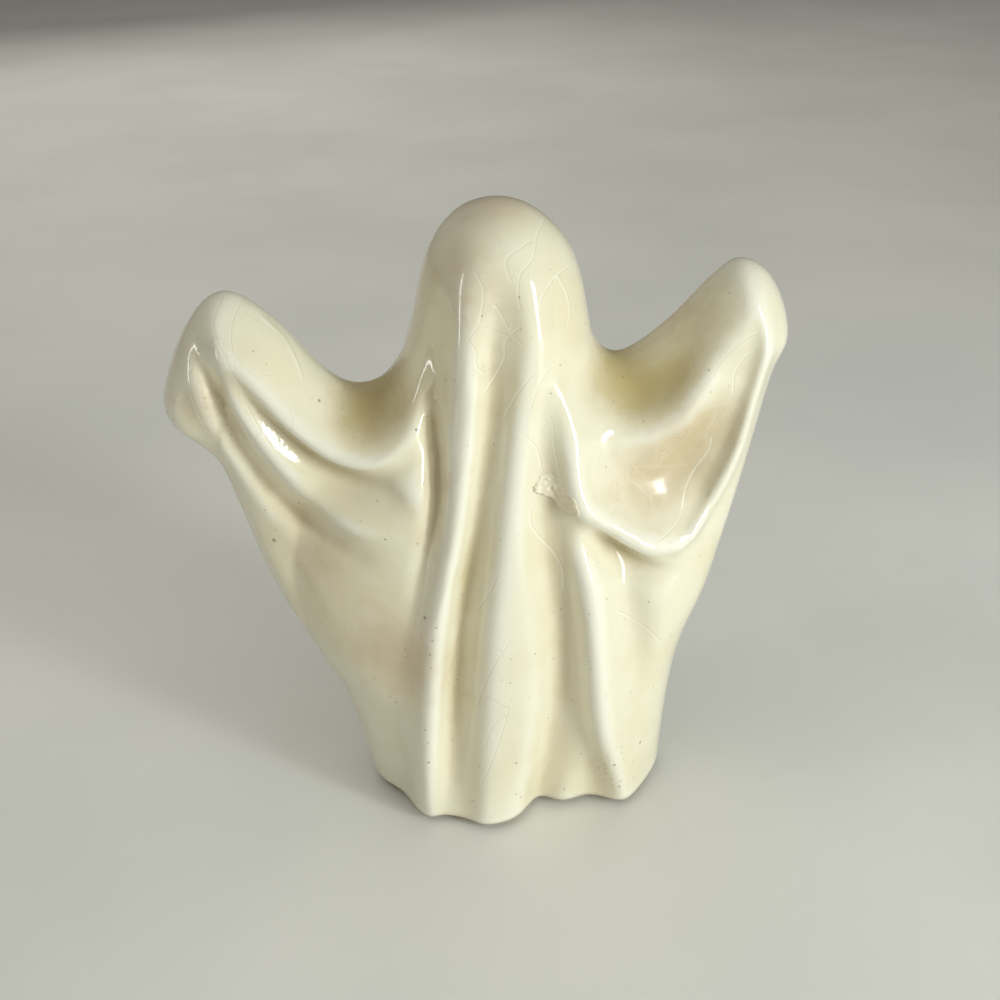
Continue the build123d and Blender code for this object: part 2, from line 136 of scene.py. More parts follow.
# folds of the back: robe, hollows of the sleeves, swags below the arms, folds below the head
backFolds = [
    (4.4, 4.4, [(5, 84, .4), (4.2, 60, 1.4), (3, 30, 1.6), (2, -6, 1.8)]),
    (4.0, 4.0, [(-2.4, 72, -.6), (-5, 45, -1.6), (-6.4, -6, -2.2)]),
    (4.0, 4.0, [(-9, 66, .8), (-12.6, 40, 1.6), (-14.6, -6, 1.8)]),
    (4.2, 4.2, [(11, 72, -.6), (12.4, 45, -1.8), (11.4, -6, -2.4)]),
    (4.2, 4.2, [(16.6, 66, .8), (19.6, 40, 1.6), (21.4, -6, 1.8)]),
    (6.0, 6.0, [(30, 78, -1.6), (27, 66, -1.4)]),
    (6.0, 6.0, [(-30, 76, -1.2), (-24, 66, -1.4)]),
    (3.0, 3.0, [(-40, 82, .2), (-31, 68, 1), (-21, 56, 1.2), (-13, 48, .3)]),
    (2.4, 2.4, [(-36, 70, -.4), (-27, 58, -1.1), (-18, 46, -.8), (-13, 36, -.2)]),
    (3.0, 3.0, [(43, 84, .2), (34, 69, 1), (25, 57, 1.2), (19, 47, .3)]),
    (2.4, 2.4, [(40, 72, -.4), (31, 59, -1.1), (24, 47, -.8), (21, 37, -.2)]),
    (3.0, 3.0, [(-1, 98, .2), (-2, 86, .8), (-4.4, 74, .4)]),
    (3.0, 3.0, [(10, 98, .2), (11.4, 86, .8), (12.6, 76, .3)]),
]

# glaze that ran together above the arms, and painted shade in these upward-facing hollows: x, z, reach,
# depth of colour
poolsAndShade = [
    (-17.5, 78, 6.5, 1.0), (-11.5, 82, 4.5, 0.5), (21.5, 82.5, 5, 0.55), (27, 79.5, 6, 0.75),
    (33, 84, 6, 0.65), (38.5, 91, 5, 0.4), (38.5, 74, 7, 0.2), (33, 68, 7, 0.2),
]

# brown painted shade in the sleeves, the folds and on the left of the robe and the head, in the same way
paintedShadeSpots = [
    (38.5, 74, 7, 0.6), (33, 68, 7.5, 0.6), (26, 67, 7, 0.35), (30, 63, 6, 0.3), (-41.6, 82, 3.4, 0.4),
    (-39.6, 74, 3.4, 0.45), (-36, 66, 3.6, 0.4), (-31, 60, 4.5, 0.35), (-28, 52, 7, 0.5), (-15, 35, 8, 0.8),
    (-17, 42, 8, 0.2), (-45, 79, 4.5, 0.5), (1.5, 96, 4.5, 0.3), (4, 86, 4, 0.25), (-4, 101, 5, 0.25),
    (3, 102, 5, 0.3), (-6.5, 68, 4, 0.45), (-8, 58, 4, 0.4), (36, 90, 6, 0.3),
]

# crazing that shows most on the front: x and z along each line
crazing = [
    [(12, 107.1), (10.7, 106.3), (10.1, 104.5), (9.7, 103.5), (7.8, 101.8), (7.4, 98.6), (7.8, 96.5)],
    [(9.2, 105.7), (6.9, 104.8), (5.9, 104.2), (5.7, 102.9), (6.4, 101)],
    [(1.1, 102.3), (2.2, 99.8), (1.9, 97.1), (1.3, 94.5), (-.3, 92.3), (.7, 90.5), (.7, 88.1), (1.6, 86.8)],
    [(3.8, 97.4), (4.8, 95.7), (6.2, 92.9), (7.7, 91.4)],
    [(7.5, 94), (5.3, 91.4), (5.1, 88.8), (3.8, 86), (1.8, 83.2)],
    [(15, 100.6), (13.4, 100.4), (11.6, 99), (10.7, 97.5)],
    [(13.5, 100.4), (14.9, 97.4), (15.5, 94.3), (15.1, 92.4)],
    [(11.7, 86.9), (10, 84.1), (8.9, 81)],
    [(9.6, 86.9), (7.1, 83.7), (5, 79.6)],
    [(8.4, 75.9), (9.5, 74.5), (10.2, 72.3), (10.5, 70.1)],
    [(12.5, 77.4), (12.6, 74.1), (13.1, 71), (13.6, 68.6)],
    [(8.6, 63.5), (8.7, 60.5), (10.4, 57), (12.8, 53.6), (13.9, 50.6), (13.9, 47.3)],
    [(2.9, 51.9), (1.4, 48.2), (-.4, 44.8)],
    [(4.8, 40), (2.5, 36.3), (.5, 31.9), (-1.2, 26.4)],
    [(1.1, 28.4), (3.3, 26.7)],
    [(4.1, 26.4), (3, 21.9), (1.6, 17.4), (-1, 10.5)],
    [(2.3, 24.5), (.7, 21.6), (.1, 18.9)],
    [(23.3, 41.9), (26.2, 39.2), (28.6, 37.2), (30.9, 34.1)],
    [(39.1, 70.2), (38.6, 67.7), (36.2, 64.2), (34.6, 60.7), (33.5, 57.4), (30, 55.8)],
    [(44.5, 86.9), (42.6, 85.1), (41.7, 82.3), (41.8, 79)],
    [(44.7, 89.9), (41.9, 88.2), (39.2, 85.1), (37.4, 82)],
    [(-39.4, 95.8), (-40.4, 93.6), (-39.8, 91.2), (-38.3, 88.5), (-36.7, 83.7)],
    [(-36.6, 94.9), (-37.4, 93.5), (-37.7, 91.5), (-37.4, 89.5)],
    [(-33.5, 92.4), (-30.3, 88.9), (-28.4, 85.6), (-27.3, 83.1)],
    [(-44.5, 86.4), (-45.5, 83.7), (-44.8, 79.3), (-43.7, 75.2)],
    [(-36.2, 80.5), (-34.9, 77.2), (-32.9, 73.3)],
]


def curveThrough(points, perSpan, closed):
    # smooth curve: each span is a cubic whose end slopes are half the step between the neighbours
    p = np.array(points, float)
    if closed:
        a, b, c, d = (np.roll(p, k, 0)[:, None] for k in (1, 0, -1, -2))
    else:
        q = np.vstack([2 * p[0] - p[1], p, 2 * p[-1] - p[-2]])
        a, b, c, d = (q[k:len(q) - 3 + k][:, None] for k in range(4))
    t = np.linspace(0, 1, perSpan, endpoint=False)[None, :, None]
    curve = b + t * (c - a) / 2 + t**2 * (a - 2.5 * b + 2 * c - d / 2)
    curve = curve + t**3 * (1.5 * (b - c) + (d - a) / 2)
    curve = curve.reshape(-1, p.shape[1])
    return curve if closed else np.vstack([curve, p[-1]])


def toSegment(x, z, start, end):
    # nearest point of a straight run: its share along the run and the offset from it
    run = end[:2] - start[:2]
    share = np.clip(((x - start[0]) * run[0] + (z - start[1]) * run[1]) / (run @ run), 0, 1)
    return share, x - start[0] - share * run[0], z - start[1] - share * run[1]


outlineCurve = curveThrough(outline, figure["outlineSteps"], True)


def rimDistance(x, z):
    # distance to the outline, positive inside it: nearest run, sign by counting crossings
    nearest = np.full(x.shape, 1e9)
    inside = np.zeros(x.shape, bool)
    for start, end in zip(outlineCurve, np.roll(outlineCurve, -1, 0)):
        _, dx, dz = toSegment(x, z, start, end)
        nearest = np.minimum(nearest, dx * dx + dz * dz)
        if start[1] != end[1]:
            crossX = start[0] + (z - start[1]) / (end[1] - start[1]) * (end[0] - start[0])
            inside ^= ((start[1] > z) != (end[1] > z)) & (x < crossX)
    return np.sqrt(nearest) * np.where(inside, 1, -1)


def bellAlong(x, z, left, right, path):
    # rise along a path, fading to each side as exp(-(distance / width) squared)
    curve = curveThrough(path, figure["pathSteps"], False)
    reach = figure["foldReach"] * max(left, right)
    low, high = curve.min(0) - reach, curve.max(0) + reach
    near = np.flatnonzero((x > low[0]) & (x < high[0]) & (z > low[1]) & (z < high[1]))
    px, pz = x[near], z[near]
    nearest = np.full(px.shape, 1e9)
    value = np.zeros(px.shape)
    for start, end in zip(curve[:-1], curve[1:]):
        share, dx, dz = toSegment(px, pz, start, end)
        square = dx * dx + dz * dz
        closer = square < nearest
        side = (end[0] - start[0]) * dz - (end[1] - start[1]) * dx
        width = np.where(side > 0, right, left)
        rise = start[2] + share * (end[2] - start[2])
        value = np.where(closer, rise * np.exp(-square / width**2), value)
        nearest = np.where(closer, square, nearest)
    out = np.zeros(x.shape)
    out[near] = value
    return out


def crazingAt(points):
    # signed distance to the nearest crazing line, and the plain distance, on the front alone
    x, y, z = points.T
    farAway = 9.0
    nearest = np.full(len(points), farAway)
    signed = np.full(len(points), farAway)
    for path in crazing:
        curve = curveThrough(path, figure["pathSteps"], False)
        for start, end in zip(curve[:-1], curve[1:]):
            _, dx, dz = toSegment(x, z, start, end)
            away = np.where(y < 0, np.hypot(dx, dz), farAway)
            side = np.sign((end[0] - start[0]) * dz - (end[1] - start[1]) * dx)
            signed = np.where(away < nearest, side * away, signed)
            nearest = np.minimum(nearest, away)
    return signed, nearest


def spotsAt(points, spots):
    # bells around the places where the glaze is darker
    total = np.zeros(len(points))
    for x, z, reach, depth in spots:
        total += depth * np.exp(-((points[:, 0] - x)**2 + (points[:, 2] - z)**2) / reach**2)
    return total


def levelAt(z, column):
    # smooth reading of the robe's table: cubic through the rows
    rows = np.array(robeLevels, float)
    slope = np.gradient(rows[:, column], rows[:, 0])
    k = np.clip(np.searchsorted(rows[:, 0], z) - 1, 0, len(rows) - 2)
    step = rows[k + 1, 0] - rows[k, 0]
    t = np.clip((z - rows[k, 0]) / step, 0, 1)
    rise = rows[k + 1, column] - rows[k, column]
    a = slope[k] * step - rise
    b = rise - slope[k + 1] * step
    return rows[k, column] + t * rise + t * (1 - t) * ((1 - t) * a + t * b)


def halfThickness(x, z):
    # robe: half ellipse over the width; sleeves: cloth plus the arm; joined by a soft maximum
    across = np.clip(1 - ((x - figure["axisX"]) / levelAt(z, 1))**2, figure["robeLeast"], 1)
    robe = levelAt(z, 2) * np.sqrt(across)
    sleeve = np.full(x.shape, figure["drape"])
    for width, path in arms:
        sleeve = sleeve + bellAlong(x, z, width, width, path)
    apart = robe - sleeve
    both = (robe + sleeve + np.sqrt(apart**2 + figure["blend"]**2)) / 2
    robeShare = 1 / (1 + np.exp(-apart / figure["edgeBlend"]))
    edge = robeShare * figure["robeEdge"] + (1 - robeShare) * figure["sleeveEdge"] * sleeve
    return both, edge


def sheetSquare(x, z, inset):
    # square of the sheet's distance from the middle plane: full thickness times a rounded rim,
    # 1 - exp(-2 rim edge / thickness squared - (rim / plump) squared), negative outside the outline
    thick, edge = halfThickness(x, z)
    roll = figure["hemRoll"]
    under = np.clip(1 - (z - figure["glazeStop"]) / roll, 0, 1)
    tuck = inset + roll * (1 - np.sqrt(1 - under**2 * 0.98))  # short of the circle's steep end
    rim = rimDistance(x, z) - tuck
    thick = np.maximum(thick - tuck, figure["leastHalf"])
    power = np.clip(2 * rim * edge / thick**2, -3, 60)  # no further, to stay in range
    power = power + np.where(rim > 0, (rim / figure["plump"])**2, 0)
    return thick**2 * (1 - np.exp(-power))


def foldsAt(x, z, folds):
    return sum(bellAlong(x, z, left, right, path) for left, right, path in folds)


def foldWeight(square):
    return np.clip(square, 0, None) / (np.clip(square, 0, None) + figure["foldFade"]**2)


# room for the grids, a little more than the figure takes
space = dict(halfX=54, halfY=23, low=-3, high=113, end=0.01)


def gridOf(pitch):
    x = np.arange(-space["halfX"], space["halfX"] + space["end"], pitch)
    y = np.arange(-space["halfY"], space["halfY"] + space["end"], pitch)
    z = np.arange(space["low"], space["high"] + space["end"], pitch)
    return x, y, z


def overPlane(axes, measure, *rest):
    # a measure of x and z, taken over the whole grid
    x, z = np.meshgrid(axes[0], axes[2], indexing="ij")
    return measure(x.ravel(), z.ravel(), *rest).reshape(x.shape)


def betweenCorners(table, gx, gz):
    # reading of a square grid of values between its corners, with gx and gz counted in cells
    ix, iz = gx.astype(int), gz.astype(int)
    tx, tz = gx - ix, gz - iz
    low = table[ix, iz] * (1 - tx) + table[ix + 1, iz] * tx
    high = table[ix, iz + 1] * (1 - tx) + table[ix + 1, iz + 1] * tx
    return low * (1 - tz) + high * tz


def netOf(field, axes):
    # surface net: one point in each grid cell that the surface crosses, at the mean of its edge
    # crossings, and one face for each grid edge that the surface crosses
    size = np.array(field.shape) - 1
    solid = field < 0
    total = np.zeros((*size, 3))
    hits = np.zeros(size)
    faces = []
    for axis in range(3):
        for a in (0, 1):
            for b in (0, 1):
                low = [a, b]
                low.insert(axis, 0)
                high = [k + (i == axis) for i, k in enumerate(low)]
                first = tuple(slice(k, k + n) for k, n in zip(low, size))
                second = tuple(slice(k, k + n) for k, n in zip(high, size))
                crossed = solid[first] != solid[second]
                drop = field[first] - field[second]
                share = np.where(crossed, field[first] / np.where(crossed, drop, 1), 0)
                for i in range(3):
                    total[..., i] += crossed * (share if i == axis else low[i])
                hits += crossed
    active = hits > 0
    number = np.full(size, -1)
    number[active] = np.arange(active.sum())
    for axis in range(3):
        n = [slice(1, -1)] * 3
        n[axis] = slice(None, -1)
        m = [slice(1, -1)] * 3
        m[axis] = slice(1, None)
        first, second = solid[tuple(n)], solid[tuple(m)]
        others = [i for i in range(3) if i != axis]
        ring = []
        for da, db in ((0, 0), (1, 0), (1, 1), (0, 1)):
            pick = [slice(None)] * 3
            pick[others[0]] = slice(da, size[others[0]] - 1 + da)
            pick[others[1]] = slice(db, size[others[1]] - 1 + db)
            ring.append(number[tuple(pick)])
        ring = np.stack(ring, -1)
        outward = first & ~second
        inward = second & ~first
        turn = axis == 1
        faces.append(ring[inward if turn else outward])
        faces.append(ring[outward if turn else inward][:, ::-1])
    start = np.array([a[0] for a in axes])
    step = np.array([a[1] - a[0] for a in axes])
    cells = np.argwhere(active)
    points = start + step * (cells + total[active] / hits[active][:, None])
    return points, np.vstack(faces)


def edgesOf(faces):
    pairs = np.vstack([faces[:, [k, (k + 1) % 4]] for k in range(4)])
    return np.unique(np.sort(pairs, 1), axis=0)


def averaged(values, edges, rounds, share):
    # each round moves a value towards the mean of its neighbours
    count = len(values)
    joined = np.concatenate([edges, edges[:, ::-1]])
    degree = np.bincount(joined[:, 0], minlength=count)[:, None]
    for _ in range(rounds):
        sums = [np.bincount(joined[:, 0], column[joined[:, 1]], count) for column in values.T]
        values = values + share * (np.stack(sums, 1) / degree - values)
    return values


def normalsOf(points, faces):
    a, b, c, d = (points[faces[:, k]] for k in range(4))
    across = np.cross(c - a, d - b)
    sums = [np.bincount(faces.ravel(), np.repeat(column, 4), len(points)) for column in across.T]
    total = np.stack(sums, 1)
    return total / np.maximum(np.linalg.norm(total, axis=1, keepdims=True), 1e-12)


def meshPiece(name, points, faces, slotName, *nodes):
    mesh = bpy.data.meshes.new(name)
    mesh.from_pydata((points * mm).tolist(), [], faces if isinstance(faces, list) else faces.tolist())
    mesh.polygons.foreach_set("use_smooth", np.ones(len(mesh.polygons), bool))
    piece = bpy.data.objects.new(name, mesh)
    bpy.context.scene.collection.objects.link(piece)
    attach(piece, "root")
    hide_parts(*nodes)
    print(name, len(points), "points", len(faces), "faces")
    return piece


def pointValue(piece, name, values):
    attribute = piece.data.attributes.new(name, "FLOAT", "POINT")
    attribute.data.foreach_set("value", values.astype(np.float32))


# glaze over both halves
glaze = dict(
    pitch=0.735,           # mesh
    wall=0.45,             # thickness
    cutSteep=12,           # slope of the cut at the glaze line against the slope of the sheet
    netRounds=2,           # smoothing of the net, and the share of each round
    netShare=0.5,
    slides=3,              # rounds that bring the mesh onto the sheet
    slideLimit=0.05,       # longest move in a round, as a share of the slope
    leastSlope=4,          # square of the slope under which a move isn't lengthened
    hemBand=0.5,           # height over the glaze line in which points keep their height
    footBand=0.1,          # height over the glaze line in which they stay
    footShare=0.35,        # height of the faces left out at the foot, as a share of the pitch
    lastShare=0.3,         # smoothing after the folds
    creaseRounds=7,        # reach of the fine relief that colours the creases
    hollowRounds=40,       # reach of the broad relief that colours the hollows
    reliefShare=0.6,       # share of each of these rounds
)


def slideOnto(points, square, axes):
    # points move down the slope of y squared minus the sheet's square until they lie on the sheet
    pitch, limit, stop = glaze["pitch"], glaze["slideLimit"], figure["glazeStop"]
    slopeX, slopeZ = np.gradient(square, pitch)
    for _ in range(glaze["slides"]):
        x, y, z = points.T
        gx = np.clip((x - axes[0][0]) / pitch, 0, len(axes[0]) - 1.001)
        gz = np.clip((z - axes[2][0]) / pitch, 0, len(axes[2]) - 1.001)
        slope = np.stack([-betweenCorners(slopeX, gx, gz), 2 * y, -betweenCorners(slopeZ, gx, gz)], 1)
        steep = np.maximum((slope**2).sum(1), glaze["leastSlope"])
        step = (y**2 - sheetSquare(x, z, 0)) / steep
        moved = points - np.clip(step, -limit, limit)[:, None] * slope
        moved[:, 2] = np.where(z < stop + glaze["hemBand"], z, moved[:, 2])
        points = np.where((z < stop + glaze["footBand"])[:, None], points, moved)
    return points


def openFoot(points, faces):
    # leave out the faces that lie on the glaze line
    line = figure["glazeStop"] + glaze["footShare"] * glaze["pitch"]
    faces = faces[~(points[faces][:, :, 2] < line).all(1)]
    used = np.unique(faces)
    renumber = np.zeros(len(points), int)
    renumber[used] = np.arange(len(used))
    return points[used], renumber[faces]


def makeGlaze():
    # surface where y squared equals the sheet's square, cut at the glaze line, then folded in depth
    axes = gridOf(glaze["pitch"])
    square = overPlane(axes, sheetSquare, 0)
    field = axes[1][None, :, None]**2 - square[:, None, :]
    field = np.maximum(field, glaze["cutSteep"] * (figure["glazeStop"] - axes[2])[None, None, :])
    points, faces = netOf(field, axes)
    points = averaged(points, edgesOf(faces), glaze["netRounds"], glaze["netShare"])
    points = slideOnto(points, square, axes)
    x, y, z = points.T
    folds = np.where(y < 0, -foldsAt(x, z, frontFolds), foldsAt(x, z, backFolds))
    points[:, 1] = y + foldWeight(sheetSquare(x, z, 0)) * folds
    points, faces = openFoot(points, faces)
    edges = edgesOf(faces)
    points = averaged(points, edges, 1, glaze["lastShare"])
    normals = normalsOf(points, faces)
    near = averaged(points, edges, glaze["creaseRounds"], glaze["reliefShare"])
    far = averaged(near, edges, glaze["hollowRounds"], glaze["reliefShare"])
    signed, nearest = crazingAt(points)
    piece = meshPiece("glazeSkin", points, faces, "ivory_glaze", "glaze_coat")
    pointValue(piece, "crease", ((near - points) * normals).sum(1))
    pointValue(piece, "hollow", ((far - points) * normals).sum(1))
    # pooled glaze with painted shade in the hollows above the arms
    pointValue(piece, "poolAndShade", spotsAt(points, poolsAndShade))
    # painted shade on the left of the figure and in the sleeves
    pointValue(piece, "paintedShade", spotsAt(points, paintedShadeSpots))
    pointValue(piece, "crack", signed)
    pointValue(piece, "crackNear", nearest)
    wall = piece.modifiers.new("glazeWall", "SOLIDIFY")
    wall.thickness = glaze["wall"] * mm
    wall.offset = -1
    return piece


glazeSkin = makeGlaze()

# clay halves under the glaze
clay = dict(
    pitch=0.95,            # mesh
    seamY=-0.8,            # where the two cast halves meet
    inset=0.9,             # clay under the glaze
    hollowInset=5.8,       # wall of the casting, with room for the folds
    wall=2.4,              # least wall behind a deep fold
)


def signedRoot(square):
    return np.sign(square) * np.sqrt(np.abs(square))


def makeClay(name, side, node):
    # outer skin under the glaze, less the hollow inside, cut at the foot and at the mould seam
    axes = gridOf(clay["pitch"])
    square = overPlane(axes, sheetSquare, clay["inset"])
    hollow = overPlane(axes, sheetSquare, clay["hollowInset"])
    rise = overPlane(axes, foldsAt, frontFolds if side < 0 else backFolds)
    outer = signedRoot(square) + foldWeight(square) * rise
    inner = np.minimum(signedRoot(hollow), outer - clay["wall"])
    depth = np.abs(axes[1])[None, :, None]
    field = np.maximum(depth - outer[:, None, :], inner[:, None, :] - depth)
    field = np.maximum(field, -axes[2][None, None, :])
    field = np.maximum(field, -side * (axes[1] - clay["seamY"])[None, :, None])
    points, faces = netOf(field, axes)
    return meshPiece(name, points, faces, "bare_clay", node)


clayFront = makeClay("clayFront", -1, "front_shell")
clayBack = makeClay("clayBack", 1, "back_shell")

# rough lump of bare clay on the chest
scar = dict(
    # its edge as x and z, anticlockwise
    edge=[(10.2, 69.2), (9, 67.6), (9.2, 66.2), (10.6, 65.3), (12, 64.6), (13, 63.3), (14.2, 62.2),
          (15.6, 61.7), (16.8, 62.6), (16.4, 64.8), (15.2, 66.6), (14.2, 68.2), (12.8, 69.4),
          (11.4, 69.8)],
    x=12.6, z=66.0,        # middle
    proud=1.0,             # height over the glaze where the ledge is full
    root=1.2,              # depth of its edge in the glaze
    ledge=0.45,            # height in the middle, as a share
    leastLedge=0.12,       # height that is left at the upper right
    leastLump=0.08,        # height that is left between grains
    tiltX=0.09,            # fall of the ledge to the right
    tiltZ=0.13,            # fall of the ledge upwards
    ragged=0.13,           # break of the edge, as a share of its distance from the middle
    grain=0.55,            # size of the grains
    grains=30,             # cells of the grid of grains
    rough=0.34,            # height of the grains
    soft=2,                # power of the fall to the edge where there is no ledge
    steep=7,               # what a full ledge adds to that power
    rootSteep=20,          # power of the fall into the glaze
    firstRing=0.02,        # share of the way out at which the rings start
    rings=30,
    perSpan=8,             # points on each span of the edge
    seed=5,
)


def sheetFront(x, z):
    square = sheetSquare(x, z, 0)
    return -np.sqrt(np.clip(square, 0, None)) - foldWeight(square) * foldsAt(x, z, frontFolds)


def makeScar():
    # plate inside its broken edge, highest along the ledge at its lower left, with grains of clay all over
    edge = curveThrough(scar["edge"], scar["perSpan"], True)
    spokes = len(edge)
    chance = np.random.default_rng(scar["seed"])
    broken = 1 + scar["ragged"] * (chance.random(spokes) - 0.5)
    out = np.repeat(np.linspace(scar["firstRing"], 1, scar["rings"])[:, None], spokes, 1)
    acrossX = out * broken * (edge[:, 0] - scar["x"])
    acrossZ = out * broken * (edge[:, 1] - scar["z"])
    ledge = scar["ledge"] - scar["tiltX"] * acrossX - scar["tiltZ"] * acrossZ
    ledge = np.clip(ledge, scar["leastLedge"], 1)
    # grains: random heights on a square grid
    heights = chance.random((scar["grains"], scar["grains"])) - 0.5
    middle = scar["grains"] // 2 - 1
    grains = betweenCorners(heights, acrossX / scar["grain"] + middle, acrossZ / scar["grain"] + middle)
    lumps = np.maximum(ledge + scar["rough"] * grains, scar["leastLump"])
    # the ledge breaks off steeply, the upper right runs out into the glaze
    rise = scar["proud"] * lumps * (1 - out**(scar["soft"] + scar["steep"] * ledge))
    rise = rise - scar["root"] * out**scar["rootSteep"]
    x, z = scar["x"] + acrossX, scar["z"] + acrossZ
    y = sheetFront(x.ravel(), z.ravel()).reshape(x.shape) - rise
    points = np.stack([x, y, z], -1).reshape(-1, 3)
    top = points[:spokes].mean(0)
    base = points[-spokes:].mean(0) + [0, scar["root"], 0]
    k = np.arange(len(points)).reshape(x.shape)
    beside = np.roll(k, -1, 1)
    faces = np.stack([k[:-1], k[1:], beside[1:], beside[:-1]], -1).reshape(-1, 4).tolist()
    faces += [[len(points), a, b] for a, b in zip(k[0], beside[0])]
    faces += [[len(points) + 1, b, a] for a, b in zip(k[-1], beside[-1])]
    points = np.vstack([points, top, base])
    return meshPiece("clayScar", points, faces, "bare_clay", "clay_scar")


clayScar = makeScar()


def fillInputs(tree, node, inputs):
    # sockets are linked, plain values are set
    for key, value in inputs.items():
        if isinstance(value, bpy.types.NodeSocket):
            tree.links.new(value, node.inputs[key])
        else:
            node.inputs[key].default_value = value


def addNode(tree, kind, inputs=None, **settings):
    made = tree.nodes.new("ShaderNode" + kind)
    for key, value in settings.items():
        setattr(made, key, value)
    fillInputs(tree, made, inputs or {})
    return made


def calc(tree, operation, *values):
    return addNode(tree, "Math", dict(enumerate(values)), operation=operation).outputs[0]


def ramp(tree, value, start, end, low=0.0, high=1.0):
    # smooth step from low to high while the value goes from start to end
    limits = {"Value": value, "From Min": start, "From Max": end, "To Min": low, "To Max": high}
    return addNode(tree, "MapRange", limits, interpolation_type="SMOOTHSTEP").outputs[0]


def tinted(tree, share, under, over):
    return addNode(tree, "Mix", {0: share, 6: under, 7: over}, data_type="RGBA").outputs[2]


def noiseAt(tree, place, scale, detail=2.0, rough=0.5):
    inputs = {"Vector": place, "Scale": scale, "Detail": detail, "Roughness": rough}
    return addNode(tree, "TexNoise", inputs)


def scaled(tree, place, factor):
    return addNode(tree, "VectorMath", {0: place, "Scale": factor}, operation="SCALE").outputs[0]


# camera as the photograph was taken, in millimetres and degrees
view = dict(
    aimX=3.8,              # point that it looks at
    aimZ=57.0,
    distance=240.0,
    down=28.0,             # tilt below the horizon
    turn=1.7,              # roll
    focal=1386.0,          # focal length in pixels of the photograph
    width=1000,            # pixels across the photograph
    sensor=36,
    nearest=10,            # nearest thing that it sees
)


def makeCamera():
    lens = bpy.data.cameras.new("photoView")
    lens.sensor_width = view["sensor"]
    lens.lens = view["focal"] / view["width"] * view["sensor"]
    lens.clip_start = view["nearest"] * mm
    camera = bpy.data.objects.new("photoView", lens)
    bpy.context.scene.collection.objects.link(camera)
    down = math.radians(view["down"])
    place = Matrix.Translation((view["aimX"] * mm, -view["distance"] * mm * math.cos(down),
                                (view["aimZ"] + view["distance"] * math.sin(down)) * mm))
    tilt = Matrix.Rotation(math.pi / 2 - down, 4, "X")
    turn = Matrix.Rotation(math.radians(-view["turn"]), 4, "Z")
    camera.matrix_world = place @ tilt @ turn
    bpy.context.scene.camera = camera


makeCamera()

# lamps, in metres and watts: a wide one on the right lights the figure, two narrow bright ones
# show in the gloss, and the others fill the shadows
lamps = dict(
    window=dict(place=(0.50, -0.40, 0.20), wide=0.36, tall=0.36, power=1.1, tint=(0.93, 1.0, 0.99)),
    windowGap=dict(place=(0.468, -0.366, 0.165), wide=0.085, tall=0.34, power=1.85, tint=(0.95, 1.0, 1.0),
                   glossy=True),
    doorGap=dict(place=(-0.565, -0.184, 0.15), wide=0.034, tall=0.32, power=0.36, tint=(1.0, 0.99, 0.97),
                 glossy=True),
    roomFill=dict(place=(0.30, -0.66, 0.10), wide=0.5, tall=0.2, power=0.95, tint=(1.0, 0.96, 0.88),
                  aimZ=0.04),
    ceiling=dict(place=(-0.10, -0.05, 0.95), wide=1.2, tall=1.2, power=3.2, tint=(1.0, 0.98, 0.92)),
    backFill=dict(place=(-0.25, 0.75, 0.40), wide=0.6, tall=0.4, power=1.3, tint=(1.0, 0.97, 0.92)),
)


def makeLamp(name, place, wide, tall, power, tint, aimZ=0.05, glossy=False):
    lamp = bpy.data.lights.new(name, "AREA")
    lamp.shape = "RECTANGLE"
    lamp.size, lamp.size_y = wide, tall
    lamp.energy = power
    lamp.color = tint
    thing = bpy.data.objects.new(name, lamp)
    bpy.context.scene.collection.objects.link(thing)
    thing.location = place
    away = Vector(place) - Vector((0, 0, aimZ))
    thing.rotation_euler = away.to_track_quat("Z", "Y").to_euler()
    thing.visible_glossy = glossy


for name, settings in lamps.items():
    makeLamp(name, **settings)

# floor and room
stage = dict(
    half=1.2,              # half width of the floor in metres
    points=9,              # points along each side
    below=0.1,             # millimetres under the figure
    cloud=(9.0, 4.0),      # scale and detail of the clouds in its colour
    cloudRange=(0.3, 0.7),
    dark=(0.76, 0.78, 0.74, 1),
    light=(0.84, 0.85, 0.81, 1),
    rough=0.42,
    air=(0.92, 0.87, 0.77, 1),
    airStrength=0.155,
)


def makeFloor():
    line = np.linspace(-stage["half"], stage["half"], stage["points"])
    x, y = np.meshgrid(line, line, indexing="ij")
    points = np.stack([x, y, np.full(x.shape, -stage["below"] * mm)], -1).reshape(-1, 3)
    k = np.arange(x.size).reshape(x.shape)
    faces = np.stack([k[:-1, :-1], k[1:, :-1], k[1:, 1:], k[:-1, 1:]], -1).reshape(-1, 4)
    mesh = bpy.data.meshes.new("tableTop")
    mesh.from_pydata(points.tolist(), [], faces.tolist())
    floor = bpy.data.objects.new("tableTop", mesh)
    bpy.context.scene.collection.objects.link(floor)
    stone = bpy.data.materials.new("paleTable")
    stone.use_nodes = True
    tree = stone.node_tree
    shader = tree.nodes["Principled BSDF"]
    place = addNode(tree, "TexCoord").outputs["Object"]
    cloud = ramp(tree, noiseAt(tree, place, *stage["cloud"]).outputs[0], *stage["cloudRange"])
    tree.links.new(tinted(tree, cloud, stage["dark"], stage["light"]), shader.inputs["Base Color"])
    shader.inputs["Roughness"].default_value = stage["rough"]
    # clear from below, so that the open foot can be seen
    clear = addNode(tree, "BsdfTransparent").outputs[0]
    below = addNode(tree, "NewGeometry").outputs["Backfacing"]
    mixed = addNode(tree, "MixShader", {0: below, 1: shader.outputs[0], 2: clear}).outputs[0]
    tree.links.new(mixed, tree.nodes["Material Output"].inputs["Surface"])
    mesh.materials.append(stone)


def makeAir():
    world = bpy.data.worlds.new("softRoom")
    world.use_nodes = True
    air = world.node_tree.nodes["Background"].inputs
    air["Color"].default_value = stage["air"]
    air["Strength"].default_value = stage["airStrength"]
    bpy.context.scene.world = world


makeFloor()
makeAir()
bpy.context.scene.view_settings.view_transform = "Standard"
print("camera, lamps and floor made")


